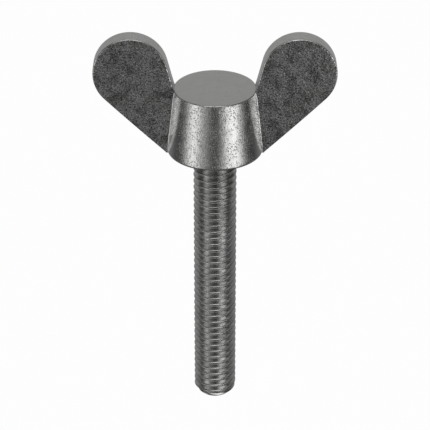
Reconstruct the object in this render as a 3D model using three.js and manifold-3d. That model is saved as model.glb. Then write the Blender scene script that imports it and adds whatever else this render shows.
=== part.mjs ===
// Wing screw with an M6 x 1 thread: a closed conical hub, two round-lobed wings whose tongues sit in
// slots in the hub, and a fully threaded stud that is screwed into a blind socket in the hub.
//
// Millimetres, +Z up. The origin is the centre of the hub's underside, on the thread's axis. The
// wings lie along X, and the stud points down -Z.

import * as THREE from 'three';
import { mergeVertices } from 'three/addons/utils/BufferGeometryUtils.js';
import Module from 'manifold-3d';

const wasm = await Module();
wasm.setup();

// Thread: ISO metric, coarse pitch, right hand.
const THREAD_PITCH = 1.0;
const THREAD_CREST_RADIUS = 3.0;
const THREAD_ROOT_RADIUS = 2.387;
const CREST_FLAT = 0.125 * THREAD_PITCH;
const ROOT_FLAT = THREAD_PITCH / 6;
const THREAD_COLUMNS = 20;
const CREST_HEIGHT_AT_FRONT = -0.77;
const THREAD_CLEARANCE = 0.1;

// Stud.
const STUD_LENGTH = 40.1;
const STUD_TIP_RADIUS = 2.2;
const STUD_ENGAGEMENT = 6.4;
const STUD_HEAD_END_RADIUS = 2.3;
const STUD_ENVELOPE_RADIUS = 3.05;

// Hub.
const HUB_BASE_RADIUS = 6.61;
const HUB_TOP_RADIUS = 5.65;
const HUB_HEIGHT = 9.27;
const HUB_EDGE = 0.1;
const SOCKET_THREAD_DEPTH = 6.8;
const SOCKET_DRILL_RADIUS = 2.5;
const SOCKET_DRILL_DEPTH = 7.1;
const SOCKET_CONE_DEPTH = 8.5;
const SOCKET_MOUTH_RADIUS = 3.4;
const SOCKET_MOUTH_INNER_RADIUS = 2.9;
const SOCKET_MOUTH_DEPTH = 0.5;

// Wings, drawn in the X-Z plane for the one on +X.
const WING_THICKNESS = 2.6;
const WING_EDGE = 0.2;
const LOBE_CENTRE = new THREE.Vector2(11.4, 11.815);
const LOBE_RADII = new THREE.Vector2(5.08, 5.2);
const WING_LOWER_ROOT = new THREE.Vector2(6.7, 0);
const WING_UPPER_ROOT = new THREE.Vector2(5.49, HUB_HEIGHT);
const LOWER_EDGE_BULGE = 0.044;
const WING_BURIED_X = 4.6;
const WING_TO_HUB_GAP = 0.1;

// Tongue of each wing and its slot in the hub.
const TONGUE_INNER_X = 4.3;
const TONGUE_OUTER_X = 7.0;
const TONGUE_HALF_WIDTH = 0.9;
const TONGUE_BOTTOM = 1.6;
const TONGUE_TOP = 7.8;
const SLOT_CLEARANCE = 0.1;
const SLOT_OUTER_X = 8.0;

// Facets.
const HUB_SEGMENTS = 96;
const STUD_ENVELOPE_SEGMENTS = 2 * THREAD_COLUMNS;
const SOCKET_SEGMENTS = 2 * THREAD_COLUMNS;
const LOBE_SEGMENTS = 40;
const EDGE_SEGMENTS = 2;
const WELD_DISTANCE = 1e-5;

const OVERRUN = 1.5;
const TURN = 2 * Math.PI;

/** A closed three.js geometry as a manifold solid, with triangles of no area left out. */
function toSolid(geometry) {
  const bare = geometry.clone();
  bare.deleteAttribute('normal');
  bare.deleteAttribute('uv');
  const welded = mergeVertices(bare, WELD_DISTANCE);
  const index = welded.index.array;
  const triangles = [];
  for (let i = 0; i < index.length; i += 3) {
    const [a, b, c] = [index[i], index[i + 1], index[i + 2]];
    if (a !== b && b !== c && c !== a) {
      triangles.push(a, b, c);
    }
  }
  const mesh = new wasm.Mesh({
    numProp: 3,
    vertProperties: welded.attributes.position.array,
    triVerts: new Uint32Array(triangles),
  });
  return new wasm.Manifold(mesh);
}

/** A manifold solid as a three.js geometry. */
function toGeometry(solid) {
  const mesh = solid.getMesh();
  const geometry = new THREE.BufferGeometry();
  geometry.setAttribute('position', new THREE.BufferAttribute(mesh.vertProperties, mesh.numProp));
  geometry.setIndex(new THREE.BufferAttribute(mesh.triVerts, 1));
  geometry.computeVertexNormals();
  return geometry;
}

/** A solid of revolution about Z from [radius, height] pairs that start and end on the axis. */
function turned(profile, segments) {
  const points = profile.map(([radius, height]) => new THREE.Vector2(radius, height));
  const geometry = new THREE.LatheGeometry(points, segments);
  geometry.rotateX(Math.PI / 2);
  return toSolid(geometry);
}

/** A box between two corners. */
function block(low, high) {
  const size = high.map((value, axis) => value - low[axis]);
  const centre = high.map((value, axis) => (value + low[axis]) / 2);
  const geometry = new THREE.BoxGeometry(...size);
  geometry.translate(...centre);
  return toSolid(geometry);
}

/**
 * A threaded rod that covers at least the heights from bottom to top and has ragged ends: one
 * helical strip, whose last column joins its first one a whole pitch further up. Growth is added
 * to every radius.
 */
function threadedRod(bottom, top, growth) {
  const crest = THREAD_CREST_RADIUS + growth;
  const root = THREAD_ROOT_RADIUS + growth;
  const section = [
    [-CREST_FLAT / 2, crest],
    [CREST_FLAT / 2, crest],
    [(THREAD_PITCH - ROOT_FLAT) / 2, root],
    [(THREAD_PITCH + ROOT_FLAT) / 2, root],
  ];
  const firstTurn = Math.floor((bottom - OVERRUN) / THREAD_PITCH);
  const lastTurn = Math.ceil((top + OVERRUN) / THREAD_PITCH);
  const rows = [];
  for (let turn = firstTurn; turn < lastTurn; turn += 1) {
    for (const [offset, radius] of section) {
      rows.push([turn * THREAD_PITCH + CREST_HEIGHT_AT_FRONT + offset, radius]);
    }
  }

  const positions = [];
  for (let column = 0; column < THREAD_COLUMNS; column += 1) {
    const share = column / THREAD_COLUMNS;
    const angle = share * TURN - Math.PI / 2;
    for (const [height, radius] of rows) {
      positions.push(radius * Math.cos(angle), radius * Math.sin(angle), height + share * THREAD_PITCH);
    }
  }
  const bottomPole = positions.length / 3;
  positions.push(0, 0, rows[0][0] - THREAD_PITCH);
  const topPole = bottomPole + 1;
  positions.push(0, 0, rows[rows.length - 1][0] + 2 * THREAD_PITCH);

  const vertex = (column, row) => column * rows.length + row;
  const triangles = [];
  const bottomEdge = [];
  const topEdge = [];
  for (let column = 0; column < THREAD_COLUMNS; column += 1) {
    const isLast = column === THREAD_COLUMNS - 1;
    const next = isLast ? 0 : column + 1;
    const step = isLast ? section.length : 0;
    for (let row = 0; row + 1 + step < rows.length; row += 1) {
      const [a, b] = [vertex(column, row), vertex(column, row + 1)];
      const [c, d] = [vertex(next, row + step), vertex(next, row + 1 + step)];
      triangles.push(a, c, d, a, d, b);
    }
    bottomEdge.push(vertex(column, 0));
    topEdge.push(vertex(column, rows.length - 1));
  }
  for (let row = section.length; row > 0; row -= 1) {
    bottomEdge.push(vertex(0, row));
  }
  for (let row = rows.length - 2; row >= rows.length - 1 - section.length; row -= 1) {
    topEdge.push(vertex(THREAD_COLUMNS - 1, row));
  }
  bottomEdge.forEach((here, i) => {
    triangles.push(bottomPole, bottomEdge[(i + 1) % bottomEdge.length], here);
  });
  topEdge.forEach((here, i) => {
    triangles.push(topPole, here, topEdge[(i + 1) % topEdge.length]);
  });

  const geometry = new THREE.BufferGeometry();
  geometry.setAttribute('position', new THREE.Float32BufferAttribute(positions, 3));
  geometry.setIndex(triangles);
  return toSolid(geometry);
}

/** The stud: a threaded rod with a chamfer at the tip and at the end inside the hub. */
function studSolid() {
  const tipChamfer = STUD_ENVELOPE_RADIUS - STUD_TIP_RADIUS;
  const headChamfer = STUD_ENVELOPE_RADIUS - STUD_HEAD_END_RADIUS;
  const envelope = turned([
    [0, -STUD_LENGTH],
    [STUD_TIP_RADIUS, -STUD_LENGTH],
    [STUD_ENVELOPE_RADIUS, -STUD_LENGTH + tipChamfer],
    [STUD_ENVELOPE_RADIUS, STUD_ENGAGEMENT - headChamfer],
    [STUD_HEAD_END_RADIUS, STUD_ENGAGEMENT],
    [0, STUD_ENGAGEMENT],
  ], STUD_ENVELOPE_SEGMENTS);
  return threadedRod(-STUD_LENGTH, STUD_ENGAGEMENT, 0).intersect(envelope);
}

/** What is drilled, tapped and countersunk out of the hub's underside. */
function socketSolid() {
  const tapReach = turned([
    [0, -OVERRUN],
    [SOCKET_MOUTH_RADIUS, -OVERRUN],
    [SOCKET_MOUTH_RADIUS, SOCKET_THREAD_DEPTH],
    [0, SOCKET_THREAD_DEPTH],
  ], SOCKET_SEGMENTS);
  const drill = turned([
    [0, -OVERRUN],
    [SOCKET_DRILL_RADIUS, -OVERRUN],
    [SOCKET_DRILL_RADIUS, SOCKET_DRILL_DEPTH],
    [0, SOCKET_CONE_DEPTH],
  ], SOCKET_SEGMENTS);
  const mouthSlope = (SOCKET_MOUTH_RADIUS - SOCKET_MOUTH_INNER_RADIUS) / SOCKET_MOUTH_DEPTH;
  const countersink = turned([
    [0, -OVERRUN],
    [SOCKET_MOUTH_RADIUS + OVERRUN * mouthSlope, -OVERRUN],
    [SOCKET_MOUTH_INNER_RADIUS, SOCKET_MOUTH_DEPTH],
    [0, SOCKET_MOUTH_DEPTH],
  ], SOCKET_SEGMENTS);
  const tapped = threadedRod(0, SOCKET_THREAD_DEPTH, THREAD_CLEARANCE).intersect(tapReach);
  return tapped.add(drill).add(countersink);
}

/** The hub's outside, a tapering boss with its edges broken, grown by a gap all round. */
function hubOutside(gap) {
  const base = HUB_BASE_RADIUS + gap;
  const top = HUB_TOP_RADIUS + gap;
  return turned([
    [0, -gap],
    [base - HUB_EDGE, -gap],
    [base, HUB_EDGE - gap],
    [top, HUB_HEIGHT + gap - HUB_EDGE],
    [top - HUB_EDGE, HUB_HEIGHT + gap],
    [0, HUB_HEIGHT + gap],
  ], HUB_SEGMENTS);
}

/** The slot for one wing's tongue; side is +1 for the wing on +X and -1 for the one on -X. */
function slotSolid(side) {
  const ends = [side * (TONGUE_INNER_X - SLOT_CLEARANCE), side * SLOT_OUTER_X].sort((a, b) => a - b);
  const halfWidth = TONGUE_HALF_WIDTH + SLOT_CLEARANCE;
  return block(
    [ends[0], -halfWidth, TONGUE_BOTTOM - SLOT_CLEARANCE],
    [ends[1], halfWidth, TONGUE_TOP + SLOT_CLEARANCE],
  );
}

/** The hub: the boss with its tapped socket and its two slots. */
function hubSolid() {
  return hubOutside(0).subtract(socketSolid()).subtract(slotSolid(1)).subtract(slotSolid(-1));
}

/**
 * The lobe's angle where the line from a point touches it; side is +1 or -1 for the two tangents.
 * The lobe is a little taller than wide, so this is worked out with it scaled to a unit circle.
 */
function tangentAngle(from, side) {
  const scaled = from.clone().sub(LOBE_CENTRE).divide(LOBE_RADII);
  return scaled.angle() + side * Math.acos(1 / scaled.length());
}

/** The point of the lobe at an angle. */
function lobePoint(angle) {
  return new THREE.Vector2(Math.cos(angle), Math.sin(angle)).multiply(LOBE_RADII).add(LOBE_CENTRE);
}

/** The outline of the wing on +X: a slightly bulged lower edge, the round lobe, a straight edge. */
function wingOutline() {
  const start = tangentAngle(WING_LOWER_ROOT, 1) - TURN;
  const end = tangentAngle(WING_UPPER_ROOT, -1);
  const lower = lobePoint(start);
  const along = lower.clone().sub(WING_LOWER_ROOT).normalize();
  const outward = new THREE.Vector2(along.y, -along.x);
  const bulge = WING_LOWER_ROOT.clone().lerp(lower, 0.5).addScaledVector(outward, 2 * LOWER_EDGE_BULGE);
  const shape = new THREE.Shape();
  shape.moveTo(WING_BURIED_X, WING_LOWER_ROOT.y);
  shape.lineTo(WING_LOWER_ROOT.x, WING_LOWER_ROOT.y);
  shape.quadraticCurveTo(bulge.x, bulge.y, lower.x, lower.y);
  shape.absellipse(LOBE_CENTRE.x, LOBE_CENTRE.y, LOBE_RADII.x, LOBE_RADII.y, start, end, false);
  shape.lineTo(WING_UPPER_ROOT.x, WING_UPPER_ROOT.y);
  shape.lineTo(WING_BURIED_X, WING_UPPER_ROOT.y);
  shape.closePath();
  return shape;
}

/** A wing on +X: a plate with its edges broken, cut to the hub's cone, with its tongue. */
function wingSolid() {
  const plate = new THREE.ExtrudeGeometry(wingOutline(), {
    depth: WING_THICKNESS - 2 * WING_EDGE,
    curveSegments: LOBE_SEGMENTS,
    bevelEnabled: true,
    bevelThickness: WING_EDGE,
    bevelSize: WING_EDGE,
    bevelOffset: -WING_EDGE,
    bevelSegments: EDGE_SEGMENTS,
  });
  plate.translate(0, 0, WING_EDGE - WING_THICKNESS / 2);
  plate.rotateX(Math.PI / 2);
  const tongue = block(
    [TONGUE_INNER_X, -TONGUE_HALF_WIDTH, TONGUE_BOTTOM],
    [TONGUE_OUTER_X, TONGUE_HALF_WIDTH, TONGUE_TOP],
  );
  return toSolid(plate).subtract(hubOutside(WING_TO_HUB_GAP)).add(tongue);
}

/** A named mesh with its own material. */
function piece(name, solid, colour, roughness) {
  const material = new THREE.MeshStandardMaterial({ color: colour, roughness, metalness: 1 });
  const mesh = new THREE.Mesh(toGeometry(solid), material);
  mesh.name = name;
  return mesh;
}

const wingScrew = new THREE.Group();
wingScrew.add(piece('hub', hubSolid(), 0x9a9a98, 0.28));

const wings = new THREE.Group();
const rightWing = piece('wing_right', wingSolid(), 0x8f8f8d, 0.4);
const leftWing = piece('wing_left', wingSolid(), 0x8f8f8d, 0.4);
leftWing.rotation.z = Math.PI;
wings.add(rightWing, leftWing);
wingScrew.add(wings);

wingScrew.add(piece('threaded_stud', studSolid(), 0x888886, 0.3));

export default wingScrew;
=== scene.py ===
"""A wing screw with an M6 x 1 thread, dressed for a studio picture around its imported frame.

The screw is a closed conical hub, two round-lobed wings whose tongues sit in slots in the hub, a
thin braze along each wing's root, and a fully threaded stud that is screwed into the hub. The
frame's origin is the centre of the hub's underside, +Z runs up the thread's axis, the wings lie
along X, and the camera looks along +Y and down. Lengths are in metres and angles in radians, unless
a docstring says otherwise.
"""

import itertools
import logging
import math
from dataclasses import dataclass
from enum import Enum

import bmesh
import bpy
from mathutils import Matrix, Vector, noise
from mathutils.geometry import delaunay_2d_cdt
from mathutils.kdtree import KDTree


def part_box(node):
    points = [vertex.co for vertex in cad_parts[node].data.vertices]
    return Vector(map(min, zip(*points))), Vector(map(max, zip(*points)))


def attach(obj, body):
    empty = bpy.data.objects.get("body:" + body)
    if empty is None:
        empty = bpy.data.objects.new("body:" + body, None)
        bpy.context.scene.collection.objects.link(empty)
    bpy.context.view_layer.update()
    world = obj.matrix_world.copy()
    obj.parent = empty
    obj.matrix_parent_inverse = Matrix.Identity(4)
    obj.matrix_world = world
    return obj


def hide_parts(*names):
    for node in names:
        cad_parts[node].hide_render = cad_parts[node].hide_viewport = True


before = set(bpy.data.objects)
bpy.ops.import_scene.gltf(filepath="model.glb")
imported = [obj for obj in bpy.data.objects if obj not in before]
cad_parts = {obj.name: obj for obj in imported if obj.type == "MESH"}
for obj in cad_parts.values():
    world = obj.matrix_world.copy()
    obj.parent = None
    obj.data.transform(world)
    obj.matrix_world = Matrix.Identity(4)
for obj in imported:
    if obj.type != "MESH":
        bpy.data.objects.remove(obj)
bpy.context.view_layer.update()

MM = 0.001
log = logging.getLogger("wing_screw")

WELD = 1e-7  # points closer together than this become one
SLIVER = 1e-8  # edges shorter than this are dissolved
FLANK = math.radians(60)  # how far the normal of a thread's flank leans from the horizontal

Point = tuple[float, float]
Socket = bpy.types.NodeSocket


class Side(Enum):
    """The two sides of the screw, with the sign of X there."""

    LEFT = -1
    RIGHT = 1


class Slot(Enum):
    """The record's material slots."""

    HUB = "hub_steel"
    WING = "wing_steel"
    STUD = "stud_steel"


# ---------------------------------------------------------------------------------------------
# Node trees and finishes
# ---------------------------------------------------------------------------------------------


class NodeSheet:
    """A node tree that is filled by short calls."""

    def __init__(self, tree: bpy.types.NodeTree) -> None:
        """Takes a node tree and empties it.

        Args:
            tree: The tree of a material or of the world.
        """
        self.tree = tree
        self.tree.nodes.clear()

    def add(self, kind: str, **settings: object) -> bpy.types.Node:
        """Adds a node.

        Args:
            kind: The node's type, such as "ShaderNodeMath".
            settings: Properties of the node, by name.

        Returns:
            The new node.
        """
        node = self.tree.nodes.new(kind)
        for name, value in settings.items():
            setattr(node, name, value)
        return node

    def feed(self, socket: Socket, value: Socket | float | tuple) -> None:
        """Links a socket to another one, or sets its own value.

        Args:
            socket: The input to feed.
            value: An output socket, a number or a vector.
        """
        if isinstance(value, bpy.types.NodeSocket):
            self.tree.links.new(value, socket)
        else:
            socket.default_value = value

    def math(self, operation: str, *values: Socket | float) -> Socket:
        """Adds a Math node.

        Args:
            operation: The node's operation, such as "ADD".
            values: What its inputs take, in order.

        Returns:
            The node's result.
        """
        node = self.add("ShaderNodeMath", operation=operation)
        for socket, value in zip(node.inputs, values):
            self.feed(socket, value)
        return node.outputs[0]

    def ramp(self, value: Socket, low: float, high: float, start: float, end: float) -> Socket:
        """Maps a range of a value smoothly onto another range.

        Args:
            value: The value to map.
            low: Where the range starts.
            high: Where the range ends.
            start: What the start becomes.
            end: What the end becomes.

        Returns:
            The mapped value, which stays between start and end.
        """
        node = self.add("ShaderNodeMapRange", interpolation_type="SMOOTHSTEP")
        for name, number in (("From Min", low), ("From Max", high), ("To Min", start), ("To Max", end)):
            node.inputs[name].default_value = number
        self.feed(node.inputs["Value"], value)
        return node.outputs["Result"]


@dataclass(frozen=True)
class Grain:
    """A noise that runs over a surface.

    Attributes:
        size: Size of one feature, in metres.
        stretch: How many times longer a feature is along Z than across.
        detail: Number of finer octaves.
        harshness: How strong each octave is beside the one before it.
        contrast: Half the width of the band of the noise that is spread over 0 to 1.
    """

    size: float
    stretch: float = 1.0
    detail: float = 2.0
    harshness: float = 0.5
    contrast: float = 0.22

    def socket(self, sheet: NodeSheet, place: Socket) -> Socket:
        """Adds the noise to a node tree.

        Args:
            sheet: The tree to add to.
            place: Position on the object, in metres.

        Returns:
            The noise, spread over 0 to 1 about a mean of 0.5.
        """
        mapping = sheet.add("ShaderNodeMapping")
        across = 1.0 / self.size
        mapping.inputs["Scale"].default_value = (across, across, across / self.stretch)
        sheet.feed(mapping.inputs["Vector"], place)
        texture = sheet.add("ShaderNodeTexNoise")
        texture.inputs["Scale"].default_value = 1.0
        texture.inputs["Detail"].default_value = self.detail
        texture.inputs["Roughness"].default_value = self.harshness
        sheet.feed(texture.inputs["Vector"], mapping.outputs["Vector"])
        low, high = 0.5 - self.contrast, 0.5 + self.contrast
        return sheet.ramp(texture.outputs["Fac"], low, high, 0.0, 1.0)


@dataclass(frozen=True)
class Pits:
    """Small sharp-edged pits, scattered over a surface.

    Attributes:
        spacing: Distance between neighbouring pits, in metres.
        reach: Radius of a pit as a share of the spacing.
        cover: Noise that gathers the pits in patches.
        share: How much of that noise holds pits, from 0 for none to 1 for all.
        floor: Radius of a pit's flat bottom as a share of its own.
        fade: How softly a patch of pits ends, as a part of the noise.
    """

    spacing: float
    reach: float
    cover: Grain
    share: float
    floor: float = 0.4
    fade: float = 0.15

    def socket(self, sheet: NodeSheet, place: Socket) -> Socket:
        """Adds the pits to a node tree.

        Args:
            sheet: The tree to add to.
            place: Position on the object, in metres.

        Returns:
            1 at the bottom of a pit and 0 between the pits.
        """
        cells = sheet.add("ShaderNodeTexVoronoi", feature="F1")
        cells.inputs["Scale"].default_value = 1.0 / self.spacing
        sheet.feed(cells.inputs["Vector"], place)
        hollow = sheet.ramp(cells.outputs["Distance"], self.reach * self.floor, self.reach, 1.0, 0.0)
        low, high = 1.0 - self.share - self.fade, 1.0 - self.share + self.fade
        patch = sheet.ramp(self.cover.socket(sheet, place), low, high, 0.0, 1.0)
        return sheet.math("MULTIPLY", hollow, patch)


@dataclass(frozen=True)
class Calm:
    """Faces that were turned, ground or rubbed, and so show less grain and shallower pits.

    Attributes:
        axis: The object's axis that the faces are told by, "X", "Y" or "Z".
        rough_at: Share of that axis in the normal of a face with all of its grain.
        calm_at: Share of that axis in the normal of the calmest face.
        kept: How much grain that face keeps.
    """

    axis: str
    rough_at: float
    calm_at: float
    kept: float

    def socket(self, sheet: NodeSheet, normal: Socket) -> Socket:
        """Adds the nodes for how much grain a face shows.

        Args:
            sheet: The material's tree.
            normal: The face's normal on the object.

        Returns:
            1 on a rough face, and less on a calm one.
        """
        parts = sheet.add("ShaderNodeSeparateXYZ")
        sheet.feed(parts.inputs["Vector"], normal)
        share = sheet.math("ABSOLUTE", parts.outputs[self.axis])
        (low, start), (high, end) = sorted(((self.rough_at, 1.0), (self.calm_at, self.kept)))
        return sheet.ramp(share, low, high, start, end)


@dataclass(frozen=True)
class SteelFinish:
    """Bare steel with an uneven tone and gloss, a fine relief, and pits.

    Attributes:
        name: The material's name.
        tone: Mean reflectance.
        clouds: Broad patches of lighter and darker metal.
        cloud_depth: How far the clouds change the tone, as a share of it.
        speckle: Fine light and dark grains.
        speckle_depth: How far the grains change the tone, as a share of it.
        roughness: Mean roughness.
        roughness_spread: How much rougher the lightest metal is than the mean, and how much
            smoother the darkest. It is negative where light metal is the smoother one.
        grain: The relief's noise.
        grain_height: Height of the relief, in metres.
        pits: The pits.
        pit_depth: Depth of the pits, in metres.
        pit_darkening: How much of the tone a pit takes away.
        calm: The kinds of faces that show less of all this.
        warmth: Share of the blue in the metal's grey.
    """

    name: str
    tone: float
    clouds: Grain
    cloud_depth: float
    speckle: Grain
    speckle_depth: float
    roughness: float
    roughness_spread: float
    grain: Grain
    grain_height: float
    pits: Pits
    pit_depth: float
    pit_darkening: float
    calm: tuple[Calm, ...] = ()
    warmth: float = 0.985

    def material(self) -> bpy.types.Material:
        """Builds the finish's node material.

        Returns:
            The new material.
        """
        steel = bpy.data.materials.new(self.name)
        steel.use_nodes = True
        sheet = NodeSheet(steel.node_tree)
        coordinates = sheet.add("ShaderNodeTexCoord")
        place = coordinates.outputs["Object"]
        shown: Socket | float = 1.0
        for calm in self.calm:
            shown = sheet.math("MULTIPLY", calm.socket(sheet, coordinates.outputs["Normal"]), shown)
        clouds = self._calmed(sheet, self.clouds.socket(sheet, place), shown)
        speckle = self._calmed(sheet, self.speckle.socket(sheet, place), shown)
        pits = sheet.math("MULTIPLY", self.pits.socket(sheet, place), shown)
        shader = sheet.add("ShaderNodeBsdfPrincipled")
        shader.inputs["Metallic"].default_value = 1.0
        sheet.feed(shader.inputs["Base Color"], self._tone(sheet, clouds, speckle, pits))
        sheet.feed(shader.inputs["Roughness"], self._roughness(sheet, clouds, speckle))
        grain = self._calmed(sheet, self.grain.socket(sheet, place), shown)
        sheet.feed(shader.inputs["Normal"], self._relief(sheet, grain, pits))
        output = sheet.add("ShaderNodeOutputMaterial")
        sheet.feed(output.inputs["Surface"], shader.outputs["BSDF"])
        return steel

    def _calmed(self, sheet: NodeSheet, noise_value: Socket, shown: Socket | float) -> Socket:
        """Draws a noise in towards its mean.

        Args:
            sheet: The material's tree.
            noise_value: The noise, from 0 to 1.
            shown: How much of it to keep.

        Returns:
            The calmer noise.
        """
        mean = 0.5
        offset = sheet.math("SUBTRACT", noise_value, mean)
        return sheet.math("ADD", sheet.math("MULTIPLY", offset, shown), mean)

    def _tone(self, sheet: NodeSheet, clouds: Socket, speckle: Socket, pits: Socket) -> Socket:
        """Adds the nodes for the metal's colour.

        Args:
            sheet: The material's tree.
            clouds: The broad patches.
            speckle: The fine grains.
            pits: The pits.

        Returns:
            The colour.
        """
        low, high = 1.0 - self.cloud_depth, 1.0 + self.cloud_depth
        broad = sheet.ramp(clouds, 0.0, 1.0, low, high)
        low, high = 1.0 - self.speckle_depth, 1.0 + self.speckle_depth
        fine = sheet.ramp(speckle, 0.0, 1.0, low, high)
        hollow = sheet.ramp(pits, 0.0, 1.0, 1.0, 1.0 - self.pit_darkening)
        share = sheet.math("MULTIPLY", sheet.math("MULTIPLY", broad, fine), hollow)
        grey = sheet.math("MULTIPLY", share, self.tone)
        colour = sheet.add("ShaderNodeCombineColor")
        sheet.feed(colour.inputs["Red"], grey)
        sheet.feed(colour.inputs["Green"], grey)
        sheet.feed(colour.inputs["Blue"], sheet.math("MULTIPLY", grey, self.warmth))
        return colour.outputs["Color"]

    def _roughness(self, sheet: NodeSheet, clouds: Socket, speckle: Socket) -> Socket:
        """Adds the nodes for the metal's roughness.

        Args:
            sheet: The material's tree.
            clouds: The broad patches.
            speckle: The fine grains.

        Returns:
            The roughness.
        """
        mixed = sheet.math("MULTIPLY", sheet.math("ADD", clouds, speckle), 0.5)
        low, high = self.roughness - self.roughness_spread, self.roughness + self.roughness_spread
        return sheet.ramp(mixed, 0.0, 1.0, low, high)

    def _relief(self, sheet: NodeSheet, fine: Socket, pits: Socket) -> Socket:
        """Adds the nodes for the metal's relief.

        Args:
            sheet: The material's tree.
            fine: The relief's noise.
            pits: The pits.

        Returns:
            The normal.
        """
        grain = sheet.add("ShaderNodeBump")
        grain.inputs["Distance"].default_value = self.grain_height
        sheet.feed(grain.inputs["Height"], fine)
        hollow = sheet.add("ShaderNodeBump", invert=True)
        hollow.inputs["Distance"].default_value = self.pit_depth
        sheet.feed(hollow.inputs["Height"], pits)
        sheet.feed(hollow.inputs["Normal"], grain.outputs["Normal"])
        return hollow.outputs["Normal"]


TUMBLED_HUB = SteelFinish(
    name="tumbled_hub_steel",
    tone=0.57,
    clouds=Grain(size=1.6 * MM, detail=3.0),
    cloud_depth=0.07,
    speckle=Grain(size=0.11 * MM, stretch=3.0, detail=2.0),
    speckle_depth=0.22,
    roughness=0.23,
    roughness_spread=0.07,
    grain=Grain(size=0.13 * MM, stretch=3.5, detail=2.0),
    grain_height=0.005 * MM,
    pits=Pits(spacing=0.2 * MM, reach=0.36, cover=Grain(size=1.0 * MM), share=0.7),
    pit_depth=0.034 * MM,
    pit_darkening=0.15,
    calm=(
        Calm(axis="Z", rough_at=0.8, calm_at=0.95, kept=0.25),  # the faced top
        Calm(axis="X", rough_at=0.76, calm_at=0.83, kept=0.12),  # the sides beside the wings
    ),
)

CAST_WING = SteelFinish(
    name="cast_wing_steel",
    tone=0.6,
    clouds=Grain(size=1.6 * MM, detail=5.0, harshness=0.75, contrast=0.2),
    cloud_depth=0.46,
    speckle=Grain(size=0.22 * MM, detail=3.0, harshness=0.7, contrast=0.16),
    speckle_depth=0.65,
    roughness=0.27,
    roughness_spread=-0.04,
    grain=Grain(size=0.28 * MM, detail=3.0),
    grain_height=0.012 * MM,
    pits=Pits(spacing=0.5 * MM, reach=0.3, cover=Grain(size=1.5 * MM), share=0.45),
    pit_depth=0.012 * MM,
    pit_darkening=0.3,
    calm=(Calm(axis="Y", rough_at=0.95, calm_at=0.8, kept=0.1),),  # the ground rim
)

ROLLED_STUD = SteelFinish(
    name="rolled_stud_steel",
    tone=0.54,
    clouds=Grain(size=1.5 * MM, detail=3.0),
    cloud_depth=0.1,
    speckle=Grain(size=0.2 * MM, detail=2.0),
    speckle_depth=0.07,
    roughness=0.22,
    roughness_spread=-0.04,
    grain=Grain(size=0.2 * MM, detail=2.0),
    grain_height=0.001 * MM,
    pits=Pits(spacing=0.45 * MM, reach=0.25, cover=Grain(size=1.8 * MM), share=0.2),
    pit_depth=0.006 * MM,
    pit_darkening=0.3,
)

BRAZE_FILM = SteelFinish(
    name="braze_film",
    tone=0.68,
    clouds=Grain(size=0.8 * MM, detail=2.0),
    cloud_depth=0.12,
    speckle=Grain(size=0.12 * MM, detail=2.0),
    speckle_depth=0.15,
    roughness=0.24,
    roughness_spread=-0.06,
    grain=Grain(size=0.2 * MM, detail=2.0),
    grain_height=0.004 * MM,
    pits=Pits(spacing=0.4 * MM, reach=0.25, cover=Grain(size=1.0 * MM), share=0.3),
    pit_depth=0.006 * MM,
    pit_darkening=0.3,
)


# ---------------------------------------------------------------------------------------------
# Mesh helpers
# ---------------------------------------------------------------------------------------------


def mesh_piece(name: str, vertices: list[Vector], faces: list[tuple[int, ...]]) -> bpy.types.Object:
    """Makes a smooth-shaded object whose points are welded and whose faces look out.

    Args:
        name: The object's name.
        vertices: The mesh's points, in metres.
        faces: The mesh's faces, as indices of its points.

    Returns:
        The new object, linked to the scene.
    """
    mesh = bpy.data.meshes.new(name)
    mesh.from_pydata(vertices, [], faces)
    work = bmesh.new()
    work.from_mesh(mesh)
    bmesh.ops.remove_doubles(work, verts=work.verts, dist=WELD)
    bmesh.ops.dissolve_degenerate(work, edges=work.edges, dist=SLIVER)
    bmesh.ops.recalc_face_normals(work, faces=work.faces)
    work.to_mesh(mesh)
    work.free()
    mesh.shade_smooth()
    piece = bpy.data.objects.new(name, mesh)
    bpy.context.scene.collection.objects.link(piece)
    return piece


def sharpen(piece: bpy.types.Object, angle: float = 35.0) -> None:
    """Shades a piece smoothly but for edges that turn by more than an angle.

    Args:
        piece: The object.
        angle: The sharpest smooth edge, in degrees.
    """
    piece.data.set_sharp_from_angle(angle=math.radians(angle))


def arc(centre: Point, radius: float, start: float, end: float, steps: int) -> list[Point]:
    """Points along a circular arc, both ends among them.

    Args:
        centre: The arc's centre.
        radius: The arc's radius.
        start: Angle of the first point, in degrees.
        end: Angle of the last point, in degrees.
        steps: Number of chords.

    Returns:
        The points, in order.
    """
    points = []
    for i in range(steps + 1):
        angle = math.radians(start + (end - start) * i / steps)
        points.append((centre[0] + radius * math.cos(angle), centre[1] + radius * math.sin(angle)))
    return points


def bend(start: Vector, corner: Vector, end: Vector, share: float) -> Vector:
    """A point of the curve that leaves start towards corner and reaches end from it."""
    left = 1 - share
    return start * left**2 + corner * (2 * share * left) + end * share**2


def subdivided(points: list[Point], spacing: float) -> list[Point]:
    """Adds points along the straight stretches of a line.

    Args:
        points: The line's corners.
        spacing: The longest stretch to leave.

    Returns:
        The line with the added points.
    """
    result = [points[0]]
    for start, end in zip(points, points[1:]):
        steps = max(1, math.ceil(math.dist(start, end) / spacing))
        for i in range(1, steps + 1):
            share = i / steps
            result.append(tuple(a + (b - a) * share for a, b in zip(start, end)))
    return result


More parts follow.
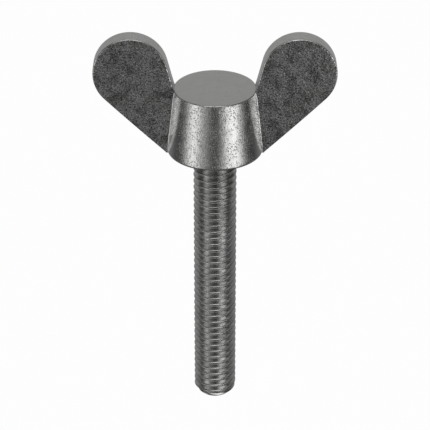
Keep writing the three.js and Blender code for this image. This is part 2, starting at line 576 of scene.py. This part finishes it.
def turned(name: str, profile: list[Point], segments: int) -> bpy.types.Object:
    """Turns a profile about Z into a closed solid.

    Args:
        name: The object's name.
        profile: Pairs of radius and height, which start and end on the axis.
        segments: Number of steps round the axis.

    Returns:
        The new object.
    """
    vertices = []
    for radius, height in profile:
        for i in range(segments):
            angle = 2 * math.pi * i / segments
            vertices.append(Vector((radius * math.cos(angle), radius * math.sin(angle), height)))
    faces = []
    for row in range(len(profile) - 1):
        for i in range(segments):
            here, after = row * segments + i, row * segments + (i + 1) % segments
            faces.append((here, after, after + segments, here + segments))
    return mesh_piece(name, vertices, faces)


def cut(piece: bpy.types.Object, tool: bpy.types.Object, operation: str) -> None:
    """Joins a tool to a piece or cuts it away, and removes the tool.

    Args:
        piece: The object to change.
        tool: The other object.
        operation: "UNION" or "DIFFERENCE".
    """
    modifier = piece.modifiers.new(operation.lower(), "BOOLEAN")
    modifier.operation = operation
    modifier.solver = "EXACT"
    modifier.object = tool
    with bpy.context.temp_override(object=piece):
        bpy.ops.object.modifier_apply(modifier=modifier.name)
    mesh = tool.data
    bpy.data.objects.remove(tool)
    bpy.data.meshes.remove(mesh)


def block(name: str, low: Vector, high: Vector) -> bpy.types.Object:
    """Makes a box between two corners, as a tool for a cut.

    Args:
        name: The object's name.
        low: The lowest corner.
        high: The highest corner.

    Returns:
        The new object.
    """
    corners = [Vector(c) for c in itertools.product((low.x, high.x), (low.y, high.y), (low.z, high.z))]
    faces = [(0, 1, 3, 2), (4, 6, 7, 5), (0, 4, 5, 1), (2, 3, 7, 6), (0, 2, 6, 4), (1, 5, 7, 3)]
    return mesh_piece(name, corners, faces)


def finish_piece(
    piece: bpy.types.Object, finish: bpy.types.Material, node: str | None = None
) -> None:
    """Dresses a piece and ties it to the frame.

    Args:
        piece: The object.
        finish: Its material.
        node: The CAD node that it stands for, if any.
    """
    piece.data.materials.clear()
    piece.data.materials.append(finish)
    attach(piece, "root")
    if node:
        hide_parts(node)
    log.info("%s: %d faces, finish %s", piece.name, len(piece.data.polygons), finish.name)


# ---------------------------------------------------------------------------------------------
# The screw
# ---------------------------------------------------------------------------------------------


@dataclass
class Hub:
    """The closed conical hub, with a blind socket below and a slot on each side.

    Attributes:
        base_radius: Radius at the underside.
        top_radius: Radius at the top.
        height: Height of the boss.
        rim_edge: Radius of the rounded edge round the top.
        foot_edge: Width and height of the rounded edge round the underside.
        socket_radius: Radius of the socket round the stud.
        socket_depth: Depth of the socket, without its cone.
        mouth_radius: Radius of the countersink at the underside.
        drill_slope: Slope of the socket's end, left by a drill's 118 degree point, in degrees.
        unevenness: How far the side wanders from a true cone.
        wander: Length over which it wanders.
        segments: Steps round the axis.
    """

    base_radius: float
    height: float
    top_radius: float = 5.65 * MM
    rim_edge: float = 0.17 * MM
    foot_edge: Point = (0.12 * MM, 0.28 * MM)
    socket_radius: float = 3.08 * MM
    socket_depth: float = 7.1 * MM
    mouth_radius: float = 3.4 * MM
    drill_slope: float = 31.0
    unevenness: float = 0.006 * MM
    wander: float = 2.2 * MM
    segments: int = 256

    def radius_at(self, height: float) -> float:
        """Radius of the side at a height above the underside."""
        return self.base_radius + (self.top_radius - self.base_radius) * height / self.height

    def profile(self) -> list[Point]:
        """The hub's profile, from the top's centre round to the socket's end.

        Returns:
            Pairs of radius and height.
        """
        slope = math.degrees(math.atan2(self.base_radius - self.top_radius, self.height))
        fine, coarse, steps = 0.25 * MM, 0.6 * MM, 8
        rim, (foot_width, foot_height) = self.rim_edge, self.foot_edge
        top_edge = arc((self.top_radius - rim, self.height - rim), rim, 90, slope, steps)
        base_edge = [
            (self.base_radius + foot_width * (out - 1), foot_height * (up + 1))
            for out, up in arc((0.0, 0.0), 1.0, 0, -90, steps)
        ]
        top = subdivided([(0.0, self.height), top_edge[0]], coarse)
        side = subdivided([top_edge[-1], base_edge[0]], fine)
        mouth = (self.mouth_radius, 0.0)
        throat = (self.socket_radius, self.mouth_radius - self.socket_radius)
        under = subdivided([base_edge[-1], mouth], coarse)
        bore = subdivided([mouth, throat, (self.socket_radius, self.socket_depth)], coarse)
        cone = self.socket_radius * math.tan(math.radians(self.drill_slope))
        drill_point = (0.0, self.socket_depth + cone)
        return top + top_edge[1:] + side[1:] + base_edge[1:] + under[1:] + bore[1:] + [drill_point]

    def build(self, wings: "list[Wing]") -> bpy.types.Object:
        """Builds the hub with a slot for each wing's tongue.

        Args:
            wings: The wings whose tongues it holds.

        Returns:
            The hub.
        """
        hub = turned("hub_body", self.profile(), self.segments)
        lowest, highest = self.foot_edge[1], self.height - self.rim_edge
        for vertex in hub.data.vertices:
            place = vertex.co
            reach = math.hypot(place.x, place.y)
            if reach > self.mouth_radius and lowest < place.z < highest:
                drift = (noise.noise(place / self.wander) - 0.5) * self.unevenness
                vertex.co += Vector((place.x, place.y, 0.0)) * (drift / reach)
        for wing in wings:
            cut(hub, wing.slot_tool(), "DIFFERENCE")
        hub.data.shade_smooth()
        sharpen(hub)
        return hub


@dataclass
class Wing:
    """A flat wing with a round lobe, trimmed to the hub, with a tongue in the hub.

    Its outline is worked out for the right-hand side, in X and Z.

    Attributes:
        side: Which side of the hub it is on.
        hub: The hub that it joins.
        tip_x: Farthest reach from the axis.
        top: Height of the lobe's top.
        thickness: Thickness of the plate.
        lobe_radii: Half the lobe's width and half its height.
        lower_root_x: Where the lower edge starts, on the bearing plane.
        upper_root_x: Where the upper edge lands on the hub's top.
        bulge: How far the lower edge bulges out from a straight line.
        edge: Radius of the rounded edges.
        edge_fade: Length over which that radius dies out at the hub.
        gap: Clearance between the root and the hub, which the braze fills.
        spacing: Distance between the points of the faces' mesh.
        skin: Height of the cast skin's relief.
        skin_grain: Size of a feature of that relief.
        tongue_x: Where the tongue starts, inside the hub.
        tongue_half_width: Half the tongue's width.
        tongue_heights: Heights of the tongue's bottom and top.
        tongue_clearance: Clearance round the tongue in its slot.
        tongue_overlap: How far the tongue reaches into the plate, past the hub's foot.
        slot_overrun: How far the slot's cut runs past the hub's foot.
    """

    side: Side
    hub: Hub
    tip_x: float
    top: float
    thickness: float
    lobe_radii: Point = (5.08 * MM, 5.2 * MM)
    lower_root_x: float = 6.7 * MM
    upper_root_x: float = 5.49 * MM
    bulge: float = 0.044 * MM
    edge: float = 0.17 * MM
    edge_fade: float = 0.7 * MM
    gap: float = 0.01 * MM
    spacing: float = 0.16 * MM
    skin: float = 0.004 * MM
    skin_grain: float = 0.9 * MM
    tongue_x: float = 4.3 * MM
    tongue_half_width: float = 0.9 * MM
    tongue_heights: Point = (1.6 * MM, 7.8 * MM)
    tongue_clearance: float = 0.05 * MM
    tongue_overlap: float = 0.4 * MM
    slot_overrun: float = 1.0 * MM

    @property
    def name(self) -> str:
        """The wing's name, which is its CAD node's."""
        return f"wing_{self.side.name.lower()}"

    @property
    def lobe_centre(self) -> Vector:
        """Centre of the round lobe."""
        return Vector((self.tip_x - self.lobe_radii[0], self.top - self.lobe_radii[1]))

    def lobe_point(self, angle: float) -> Vector:
        """The point of the lobe at an angle, in radians."""
        width, height = self.lobe_radii
        return self.lobe_centre + Vector((width * math.cos(angle), height * math.sin(angle)))

    def _tangent_angle(self, root: Vector, turn: int) -> float:
        """The lobe's angle where the line from a root point touches it.

        Args:
            root: The root point.
            turn: 1 for the lower edge, -1 for the upper one.

        Returns:
            The angle in radians, from 0 to a whole turn, with the lobe scaled to a circle.
        """
        offset = root - self.lobe_centre
        scaled = Vector((offset.x / self.lobe_radii[0], offset.y / self.lobe_radii[1]))
        angle = math.atan2(scaled.y, scaled.x) + turn * math.acos(1 / scaled.length)
        return angle % (2 * math.pi)

    def root_x(self, height: float, depth: float) -> float:
        """Distance of the hub's side from the middle plane at a height and a depth along Y."""
        radius = self.hub.radius_at(height) + self.gap
        return math.sqrt(radius * radius - depth * depth)

    def _free_edge(self, depth: float) -> list[Vector]:
        """The free edge at its full size: underside, lower edge, lobe and upper edge.

        Args:
            depth: Depth along Y, which sets where the underside leaves the hub.

        Returns:
            The points, from the hub's foot round to the hub's top.
        """
        foot = Vector((self.root_x(0.0, depth), 0.0))
        lower_root = Vector((self.lower_root_x, 0.0))
        upper_root = Vector((self.upper_root_x, self.hub.height))
        start = self._tangent_angle(lower_root, 1) - 2 * math.pi
        end = self._tangent_angle(upper_root, -1)
        lower, upper = self.lobe_point(start), self.lobe_point(end)
        along = (lower - lower_root).normalized()
        control = (lower + lower_root) / 2 + Vector((along.y, -along.x)) * 2 * self.bulge
        foot_steps, lower_steps, lobe_steps, upper_steps = 4, 70, 160, 40
        points = [foot.lerp(lower_root, i / foot_steps) for i in range(foot_steps)]
        points += [bend(lower_root, control, lower, i / lower_steps) for i in range(lower_steps)]
        points += [self.lobe_point(start + (end - start) * i / lobe_steps) for i in range(lobe_steps)]
        return points + [upper.lerp(upper_root, i / upper_steps) for i in range(upper_steps + 1)]

    def _root_edge(self, depth: float) -> list[Vector]:
        """The edge that lies on the hub: over its rim, down its side, without its two ends.

        Args:
            depth: Depth along Y.

        Returns:
            The points, from the hub's top down to its foot.
        """
        hub, points = self.hub, []
        edge = hub.rim_edge
        rim_x = math.sqrt((hub.top_radius - edge) ** 2 - depth * depth)
        side_angle, rim_steps = 6, 6
        for x, height in arc((rim_x, hub.height - edge), edge + self.gap, 90, side_angle, rim_steps):
            points.append(Vector((max(x, self.upper_root_x), height)))
        side_steps = 54
        top = points[-1].y
        for i in range(1, side_steps):
            height = top * (1 - i / side_steps)
            points.append(Vector((max(self.root_x(height, depth), self.upper_root_x), height)))
        return points

    def outline(self, inset: float, depth: float) -> list[Vector]:
        """The wing's outline at a depth along Y.

        Args:
            inset: How far the free edge is drawn in, away from the hub.
            depth: Depth along Y.

        Returns:
            The outline's points, counter-clockwise from the hub's foot.
        """
        full = self._free_edge(depth)
        foot, landing = full[0], full[-1]
        free = []
        for i, point in enumerate(full):
            before, after = full[max(i - 1, 0)], full[min(i + 1, len(full) - 1)]
            along = (after - before).normalized()
            reach = min((point - foot).length, (point - landing).length) / self.edge_fade
            share = min(reach, 1.0)
            fade = share * share * (3 - 2 * share)
            free.append(point + Vector((-along.y, along.x)) * inset * fade)
        return free + self._root_edge(depth)

    def _layers(self) -> list[Point]:
        """The depths at which the outline is drawn, from the back face to the front face.

        Returns:
            Pairs of the free edge's inset and the depth along Y.
        """
        half, edge, edge_steps, rim_steps = self.thickness / 2, self.edge, 6, 10
        back = [(inset, depth) for depth, inset in arc((half - edge, edge), edge, 0, -90, edge_steps)]
        middle = [(0.0, (half - edge) * (1 - 2 * i / rim_steps)) for i in range(1, rim_steps)]
        front = [(inset, -depth) for inset, depth in reversed(back)]
        return back + middle + front

    def _face_points(self, outline: list[Vector]) -> tuple[list[Vector], list[tuple[int, ...]]]:
        """Fills an outline with evenly spread points and triangles.

        Args:
            outline: The outline's points.

        Returns:
            The points, which start with the outline's, and the triangles.
        """
        low_x, high_x = min(p.x for p in outline), max(p.x for p in outline)
        low_z, high_z = min(p.y for p in outline), max(p.y for p in outline)
        row_height = self.spacing * math.sqrt(3) / 2
        margin = self.spacing * 0.6  # what the filling keeps clear of the outline
        points = list(outline)
        tree = _tree(outline)
        for row in range(int((high_z - low_z) / row_height) + 1):
            shift = self.spacing / 2 if row % 2 else 0.0
            for column in range(int((high_x - low_x) / self.spacing) + 1):
                point = Vector((low_x + shift + column * self.spacing, low_z + row * row_height))
                is_clear = tree.find((point.x, point.y, 0.0))[2] > margin
                if is_clear and _inside(point, outline):
                    points.append(point)
        edges = [(i, (i + 1) % len(outline)) for i in range(len(outline))]
        corners = [Vector((p.x / MM, p.y / MM)) for p in points]
        inside_only, tolerance = 1, 1e-7
        result = delaunay_2d_cdt(corners, edges, [], inside_only, tolerance)
        if len(result[0]) != len(points):
            raise RuntimeError("the face's points were merged")
        order = [origin[0] for origin in result[3]]
        return points, [tuple(order[i] for i in face) for face in result[2]]

    def build(self) -> bpy.types.Object:
        """Builds the wing.

        Returns:
            The wing.
        """
        vertices: list[Vector] = []
        faces: list[tuple[int, ...]] = []
        layers = self._layers()
        count = 0
        for inset, depth in layers:
            outline = self.outline(inset, depth)
            count = len(outline)
            vertices += [Vector((p.x, depth, p.y)) for p in outline]
        for layer in range(len(layers) - 1):
            for i in range(count):
                here, after = layer * count + i, layer * count + (i + 1) % count
                faces.append((here, after, after + count, here + count))
        for layer in (0, len(layers) - 1):
            inset, depth = layers[layer]
            outline = self.outline(inset, depth)
            points, triangles = self._face_points(outline)
            base = len(vertices) - count
            for p in points[count:]:
                vertices.append(Vector((p.x, depth + self._relief(p, depth), p.y)))
            index = [layer * count + i if i < count else base + i for i in range(len(points))]
            faces += [tuple(index[i] for i in triangle) for triangle in triangles]
        sign = self.side.value
        for vertex in vertices:
            vertex.x *= sign
            vertex.y *= sign
        wing = mesh_piece(self.name + "_plate", vertices, faces)
        cut(wing, self._tongue_tool(), "UNION")
        sharpen(wing)
        return wing

    def _relief(self, point: Vector, depth: float) -> float:
        """The cast skin's height, from two octaves of noise.

        Args:
            point: A point of a face, in X and Z.
            depth: The face's depth along Y, which gives each face a skin of its own.

        Returns:
            The height.
        """
        faces_apart, finer, fine_share = 40, 3.1, 0.5
        seed = Vector((point.x, depth * faces_apart, point.y)) / self.skin_grain
        return (noise.noise(seed) + fine_share * noise.noise(seed * finer)) * self.skin

    def _tongue_box(self, name: str, grow: float, outer_x: float) -> bpy.types.Object:
        """A box round the tongue.

        Args:
            name: The box's name.
            grow: How much larger it is than the tongue on each side.
            outer_x: How far out it reaches.

        Returns:
            The box.
        """
        sign = self.side.value
        ends = sorted((sign * (self.tongue_x - grow), sign * outer_x))
        half = self.tongue_half_width + grow
        low = Vector((ends[0], -half, self.tongue_heights[0] - grow))
        high = Vector((ends[1], half, self.tongue_heights[1] + grow))
        return block(name, low, high)

    def _tongue_tool(self) -> bpy.types.Object:
        """The tongue, reaching a little way into the plate."""
        return self._tongue_box("tongue", 0.0, self.hub.base_radius + self.tongue_overlap)

    def slot_tool(self) -> bpy.types.Object:
        """What the tongue's slot takes out of the hub."""
        outer_x = self.hub.base_radius + self.slot_overrun
        return self._tongue_box("slot", self.tongue_clearance, outer_x)


def _inside(point: Vector, outline: list[Vector]) -> bool:
    """Whether a point lies inside an outline.

    Args:
        point: The point.
        outline: The outline's points, in order.

    Returns:
        True inside, found by how often a level line from the point crosses the outline.
    """
    inside = False
    before = outline[-1]
    for here in outline:
        if (here.y > point.y) != (before.y > point.y):
            if point.x < here.x + (point.y - here.y) / (before.y - here.y) * (before.x - here.x):
                inside = not inside
        before = here
    return inside


def _tree(outline: list[Vector]) -> KDTree:
    """Sorts an outline's points for a quick search for the nearest one.

    Args:
        outline: The outline's points.

    Returns:
        The tree of the points.
    """
    tree = KDTree(len(outline))
    for i, point in enumerate(outline):
        tree.insert((point.x, point.y, 0.0), i)
    tree.balance()
    return tree


@dataclass
class BrazeFillet:
    """The thin concave fillet of braze between a wing's face and the hub.

    Attributes:
        wing: The wing.
        front: True for the fillet on the camera's side.
        foot_size: Mean size of the fillet at the hub's foot.
        top_size: Mean size of the fillet at the hub's top.
        waver: How far the size wavers, as a share of it.
        waver_length: Length over which it wavers.
        end_gaps: What the fillet leaves free at the hub's foot and at its top.
        end_share: Size of the fillet's very ends, as a share of its mean size.
        taper: How many times over the ends grow along the whole fillet.
        steps: Number of steps along the fillet.
        arc_steps: Number of steps across it.
    """

    wing: Wing
    front: bool
    foot_size: float = 0.2 * MM
    top_size: float = 0.13 * MM
    waver: float = 0.35
    waver_length: float = 0.7 * MM
    end_gaps: Point = (0.06 * MM, 0.12 * MM)
    end_share: float = 0.15
    taper: float = 8.0
    steps: int = 160
    arc_steps: int = 8

    def build(self) -> bpy.types.Object:
        """Builds the fillet.

        Returns:
            The fillet.
        """
        wing = self.wing
        y_sign = -1.0 if self.front else 1.0
        half = wing.thickness / 2
        lowest, highest = self.end_gaps[0], wing.hub.height - self.end_gaps[1]
        rows: list[list[Vector]] = []
        for i in range(self.steps + 1):
            share = i / self.steps
            height = lowest + (highest - lowest) * share
            seed = Vector((wing.side.value * 3.0, y_sign * 5.0, height / self.waver_length))
            size = self.foot_size + (self.top_size - self.foot_size) * share
            size *= 1.0 + self.waver * noise.noise(seed)
            size *= min(1.0, self.taper * min(share, 1 - share) + self.end_share)
            hub_radius = wing.hub.radius_at(height)
            corner = Vector((math.sqrt(hub_radius**2 - half**2), half))
            along_hub = Vector((-corner.y, corner.x)).normalized()
            on_hub = (corner + along_hub * size).normalized() * hub_radius
            on_wing = corner + Vector((size + wing.gap, 0.0))
            row = [bend(on_hub, corner, on_wing, j / self.arc_steps) for j in range(self.arc_steps + 1)]
            row.append(corner + Vector((wing.gap / 2, -wing.gap / 2)))
            sign = wing.side.value
            rows.append([Vector((sign * p.x, y_sign * p.y, height)) for p in row])
        vertices = [point for row in rows for point in row]
        width = len(rows[0])
        faces = []
        for i in range(self.steps):
            for j in range(width):
                here, after = i * width + j, i * width + (j + 1) % width
                faces.append((here, after, after + width, here + width))
        faces.append(tuple(range(width)))
        faces.append(tuple(range(self.steps * width, (self.steps + 1) * width)))
        place = "front" if self.front else "back"
        fillet = mesh_piece(f"braze_{wing.side.name.lower()}_{place}", vertices, faces)
        sharpen(fillet, angle=50.0)
        return fillet


@dataclass
class ThreadedStud:
    """The M6 stud: a rolled right-hand thread with rounded crests and roots, chamfered ends.

    Attributes:
        crest_radius: Radius over the crests.
        tip: Height of the tip.
        head_end: Height of the end inside the hub.
        pitch: The thread's pitch.
        depth: Depth of the thread.
        crest_flat: Width of the crest, as a share of the pitch.
        root_flat: Width of the root, as a share of the pitch.
        crest_at_front: Height of a crest where it faces the camera.
        tip_radius: Radius of the flat at the tip.
        head_end_radius: Radius of the flat at the other end.
        columns: Steps in one turn.
        round_steps: Steps across a rounded crest or root.
        wear: How far handling has worn or dented the crests.
        wear_patch: Length and height of a worn patch.
    """

    crest_radius: float
    tip: float
    head_end: float
    pitch: float = 1.0 * MM
    depth: float = 0.613 * MM
    crest_flat: float = 0.125
    root_flat: float = 1 / 6
    crest_at_front: float = -0.77 * MM
    tip_radius: float = 2.2 * MM
    head_end_radius: float = 2.3 * MM
    columns: int = 144
    round_steps: int = 8
    wear: float = 0.002 * MM
    wear_patch: Point = (0.9 * MM, 0.5 * MM)

    def section(self) -> list[Point]:
        """One pitch of the thread's section.

        Returns:
            Pairs of height above the crest's centre and depth below the crest.
        """
        crest = self._round(self.crest_flat)
        root = [(self.pitch / 2 + up, self.depth - sunk) for up, sunk in self._round(self.root_flat)]
        next_crest = (crest[0][0] + self.pitch, crest[0][1])
        return crest + self._held(crest[-1], root[0]) + root + self._held(root[-1], next_crest)

    def _round(self, flat: float) -> list[Point]:
        """The round that fills the place of a flat.

        Args:
            flat: Width of the flat, as a share of the pitch.

        Returns:
            Pairs of height from the round's middle and depth below it, upwards.
        """
        radius = flat / 2 * self.pitch / (math.sin(FLANK) - 0.5 * math.tan(math.pi / 2 - FLANK))
        angles = [FLANK * (2 * i / self.round_steps - 1) for i in range(self.round_steps + 1)]
        return [(radius * math.sin(angle), radius * (1 - math.cos(angle))) for angle in angles]

    @staticmethod
    def _held(start: Point, end: Point) -> list[Point]:
        """Two points near the ends of a straight stretch, which keep its shading flat."""
        near, far = 0.1, 0.9
        return [tuple(Vector(start).lerp(Vector(end), share)) for share in (near, far)]

    def envelope(self, height: float) -> float:
        """The largest radius that the 45 degree chamfers leave.

        Args:
            height: The height to ask for.

        Returns:
            The radius there.
        """
        from_tip = height - self.tip
        from_head = self.head_end - height
        return min(self.tip_radius + max(from_tip, 0.0), self.head_end_radius + max(from_head, 0.0))

    def build(self) -> bpy.types.Object:
        """Builds the stud.

        Returns:
            The stud.
        """
        section = self.section()
        first = math.floor(self.tip / self.pitch) - 1
        last = math.ceil(self.head_end / self.pitch) + 2
        rows = [
            (turn * self.pitch + self.crest_at_front + height, depth)
            for turn in range(first, last)
            for height, depth in section
        ]
        vertices = []
        for column in range(self.columns):
            share = column / self.columns
            angle = 2 * math.pi * share - math.pi / 2
            for start, depth in rows:
                height = min(max(start + share * self.pitch, self.tip), self.head_end)
                radius = min(self.crest_radius - depth, self.envelope(height))
                radius -= self._wear(angle, height, depth)
                vertices.append(Vector((radius * math.cos(angle), radius * math.sin(angle), height)))
        faces = []
        for column in range(self.columns):
            is_last = column == self.columns - 1
            after = 0 if is_last else (column + 1) * len(rows)
            step = len(section) if is_last else 0
            here = column * len(rows)
            for row in range(len(rows) - 1 - step):
                faces.append((here + row, after + row + step, after + row + 1 + step, here + row + 1))
        stud = mesh_piece("stud_thread", vertices, faces)
        self._close(stud)
        sharpen(stud, angle=50.0)
        return stud

    def _wear(self, angle: float, height: float, depth: float) -> float:
        """How far a point near a crest is worn down.

        Args:
            angle: The point's angle round the axis.
            height: Its height.
            depth: Its depth below the crest.

        Returns:
            The wear, which is nothing deep in the thread, in the hub and close to the tip.
        """
        worn_depth, threshold, seed = self.depth * 0.3, 0.05, 3.7
        if depth > worn_depth or not self.tip + self.pitch < height < 0:
            return 0.0
        length, tall = self.wear_patch
        place = Vector((self.crest_radius * angle / length, height / tall, seed))
        return max(0.0, noise.noise(place) - threshold) * self.wear

    @staticmethod
    def _close(stud: bpy.types.Object) -> None:
        """Closes the two flat ends of the stud.

        Args:
            stud: The stud, open at both ends.
        """
        work = bmesh.new()
        work.from_mesh(stud.data)
        open_edges = [edge for edge in work.edges if edge.is_boundary]
        bmesh.ops.holes_fill(work, edges=open_edges, sides=0)
        bmesh.ops.recalc_face_normals(work, faces=work.faces)
        work.to_mesh(stud.data)
        work.free()
        stud.data.shade_smooth()


# ---------------------------------------------------------------------------------------------
# The studio
# ---------------------------------------------------------------------------------------------


@dataclass(frozen=True)
class SoftPanel:
    """A soft light panel of the studio, given by the directions in which the screw sees it.

    Attributes:
        azimuth: Direction of its middle, in degrees: 0 is -Y, and 90 is +X.
        elevation: Height of its middle above the horizon, in degrees.
        half_width: Half its width, in degrees.
        half_height: Half its height, in degrees.
        strength: Radiance at its middle.
        softness: 2 for a light that fades evenly, and more for a flatter middle.
        fall: How steeply it fades: 0.7 leaves half the strength at the middle of an edge.
    """

    azimuth: float
    elevation: float
    half_width: float
    half_height: float
    strength: float
    softness: float = 2.0
    fall: float = 0.7

    def socket(self, sheet: NodeSheet, azimuth: Socket, elevation: Socket) -> Socket:
        """Adds the panel's light to the world's tree.

        Args:
            sheet: The world's tree.
            azimuth: Azimuth of the direction looked in, in radians.
            elevation: Elevation of that direction, in radians.

        Returns:
            The panel's radiance in that direction.
        """
        across = sheet.math("SUBTRACT", azimuth, math.radians(self.azimuth))
        across = sheet.math("WRAP", across, math.pi, -math.pi)
        upward = sheet.math("SUBTRACT", elevation, math.radians(self.elevation))
        shares = []
        for offset, half in ((across, self.half_width), (upward, self.half_height)):
            share = sheet.math("DIVIDE", sheet.math("ABSOLUTE", offset), math.radians(half))
            shares.append(sheet.math("POWER", share, self.softness))
        total = sheet.math("MULTIPLY", sheet.math("ADD", *shares), -self.fall)
        return sheet.math("MULTIPLY", sheet.math("EXPONENT", total), self.strength)


@dataclass(frozen=True)
class Studio:
    """A white sweep with soft light panels and a camera.

    Attributes:
        ambient: Light from where no panel is.
        panels: The light panels.
        sweep_white: Brightness of the floor and the backdrop.
        floor_radius: Radius of the floor.
        backdrop_radius: Radius of the backdrop.
        camera_pitch: How far the camera looks down, in degrees.
        camera_distance: Distance from the camera to what it is aimed at.
        aim_height: Height on the thread's axis that the camera is aimed at.
        lens: Focal length, in millimetres.
        sensor: Width of the sensor, in millimetres.
        segments: Steps round the floor and the backdrop.
    """

    panels: tuple[SoftPanel, ...]
    ambient: float = 0.06
    sweep_white: float = 0.985
    floor_radius: float = 0.9
    backdrop_radius: float = 1.1
    camera_pitch: float = 30.0
    camera_distance: float = 270.7 * MM
    aim_height: float = -10.63 * MM
    lens: float = 161.14
    sensor: float = 36.0
    segments: int = 64

    def light(self) -> None:
        """Builds the world that holds the light panels."""
        world = bpy.data.worlds.new("studio")
        world.use_nodes = True
        bpy.context.scene.world = world
        sheet = NodeSheet(world.node_tree)
        way = sheet.add("ShaderNodeSeparateXYZ")
        sheet.feed(way.inputs["Vector"], sheet.add("ShaderNodeTexCoord").outputs["Generated"])
        backward = sheet.math("MULTIPLY", way.outputs["Y"], -1.0)
        azimuth = sheet.math("ARCTAN2", way.outputs["X"], backward)
        elevation = sheet.math("ARCSINE", way.outputs["Z"])
        total: Socket | float = self.ambient
        for panel in self.panels:
            total = sheet.math("ADD", panel.socket(sheet, azimuth, elevation), total)
        background = sheet.add("ShaderNodeBackground")
        sheet.feed(background.inputs["Strength"], total)
        output = sheet.add("ShaderNodeOutputWorld")
        sheet.feed(output.inputs["Surface"], background.outputs["Background"])

    def sweep(self, floor_height: float) -> None:
        """Builds the floor and the backdrop.

        Args:
            floor_height: Height of the floor.
        """
        white = self._sweep_material()
        below, reach = floor_height - 1 * MM, self.floor_radius
        slab = [(0.0, floor_height), (reach, floor_height), (reach, below), (0.0, below)]
        floor = turned("studio_floor", slab, self.segments)
        ball = arc((0.0, 0.0), self.backdrop_radius, 90, -90, 48)
        backdrop = turned("studio_backdrop", ball, self.segments)
        for stage in (floor, backdrop):
            stage.data.materials.append(white)
            stage.visible_diffuse = False
            stage.visible_glossy = False
            stage.visible_transmission = False
            stage.visible_shadow = False

    def _sweep_material(self) -> bpy.types.Material:
        """Builds the even white of the sweep, which glows so that nothing shades it.

        Returns:
            The new material.
        """
        white = bpy.data.materials.new("sweep_white")
        white.use_nodes = True
        sheet = NodeSheet(white.node_tree)
        glow = sheet.add("ShaderNodeEmission")
        glow.inputs["Color"].default_value = (self.sweep_white, self.sweep_white, self.sweep_white, 1.0)
        output = sheet.add("ShaderNodeOutputMaterial")
        sheet.feed(output.inputs["Surface"], glow.outputs["Emission"])
        return white

    def camera(self) -> None:
        """Builds the camera."""
        data = bpy.data.cameras.new("camera")
        data.sensor_width = self.sensor
        data.lens = self.lens
        data.clip_start = 1 * MM
        data.clip_end = 10.0
        camera = bpy.data.objects.new("camera", data)
        bpy.context.scene.collection.objects.link(camera)
        pitch = math.radians(self.camera_pitch)
        back = Vector((0.0, -math.cos(pitch), math.sin(pitch)))
        camera.location = Vector((0.0, 0.0, self.aim_height)) + back * self.camera_distance
        camera.rotation_euler = (math.pi / 2 - pitch, 0.0, 0.0)
        bpy.context.scene.camera = camera


STUDIO = Studio(
    panels=(
        # Two lights in front whose reflections run down the hub, and a weak one between them.
        SoftPanel(azimuth=-54, elevation=-15, half_width=15, half_height=11, strength=2.1),
        SoftPanel(azimuth=-23, elevation=-12, half_width=9, half_height=20, strength=0.34),
        SoftPanel(
            azimuth=44.5, elevation=-18, half_width=20.5, half_height=6.5, strength=2.75, softness=2.6
        ),
        # Weak lights below, for the wings' faces and for the thread.
        SoftPanel(azimuth=0, elevation=-30, half_width=30, half_height=25, strength=0.037),
        SoftPanel(azimuth=-76, elevation=-37, half_width=14, half_height=12, strength=0.08),
        SoftPanel(azimuth=60, elevation=-38, half_width=14, half_height=8.5, strength=0.16),
        SoftPanel(azimuth=84, elevation=-37, half_width=12, half_height=12, strength=0.03),
        # A bright wall behind, for the hub's top, the wings' rims and the stud's outline.
        SoftPanel(
            azimuth=180, elevation=20, half_width=62.5, half_height=53, strength=0.287, softness=6
        ),
        SoftPanel(azimuth=180, elevation=5, half_width=32, half_height=60, strength=0.177, softness=3),
        # Lights at the sides, low down and high up, for the sides of the hub and of the thread.
        SoftPanel(azimuth=98, elevation=6, half_width=26, half_height=11, strength=0.36),
        SoftPanel(azimuth=-98, elevation=6, half_width=26, half_height=11, strength=0.33),
        SoftPanel(azimuth=113, elevation=63, half_width=20, half_height=5.5, strength=0.6),
        SoftPanel(azimuth=-116, elevation=59, half_width=20, half_height=6, strength=0.27),
        # The light overhead in front, which draws the crests and the upper edges as bright lines.
        SoftPanel(azimuth=0, elevation=56, half_width=45, half_height=22, strength=2.0, softness=4),
    )
)


def main() -> None:
    """Builds the screw, the studio and the camera."""
    logging.basicConfig(level=logging.INFO, format="%(name)s: %(message)s")
    hub_low, hub_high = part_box("hub")
    stud_low, stud_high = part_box("threaded_stud")
    wing_low, wing_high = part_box("wing_right")

    hub = Hub(base_radius=hub_high[0], height=hub_high[2])
    wings = [
        Wing(
            side=side,
            hub=hub,
            tip_x=wing_high[0],
            top=wing_high[2],
            thickness=wing_high[1] - wing_low[1],
        )
        for side in Side
    ]
    hub_finish = TUMBLED_HUB.material()
    wing_finish = CAST_WING.material()
    stud_finish = ROLLED_STUD.material()
    braze_finish = BRAZE_FILM.material()

    finish_piece(hub.build(wings), hub_finish, "hub")
    for wing in wings:
        finish_piece(wing.build(), wing_finish, wing.name)
        for front in (True, False):
            finish_piece(BrazeFillet(wing, front).build(), braze_finish)
    stud = ThreadedStud(crest_radius=stud_high[0], tip=stud_low[2], head_end=stud_high[2])
    finish_piece(stud.build(), stud_finish, "threaded_stud")

    STUDIO.light()
    STUDIO.sweep(stud_low[2])
    STUDIO.camera()
    bpy.context.scene.view_settings.view_transform = "Standard"


if __name__ == "__main__":
    main()
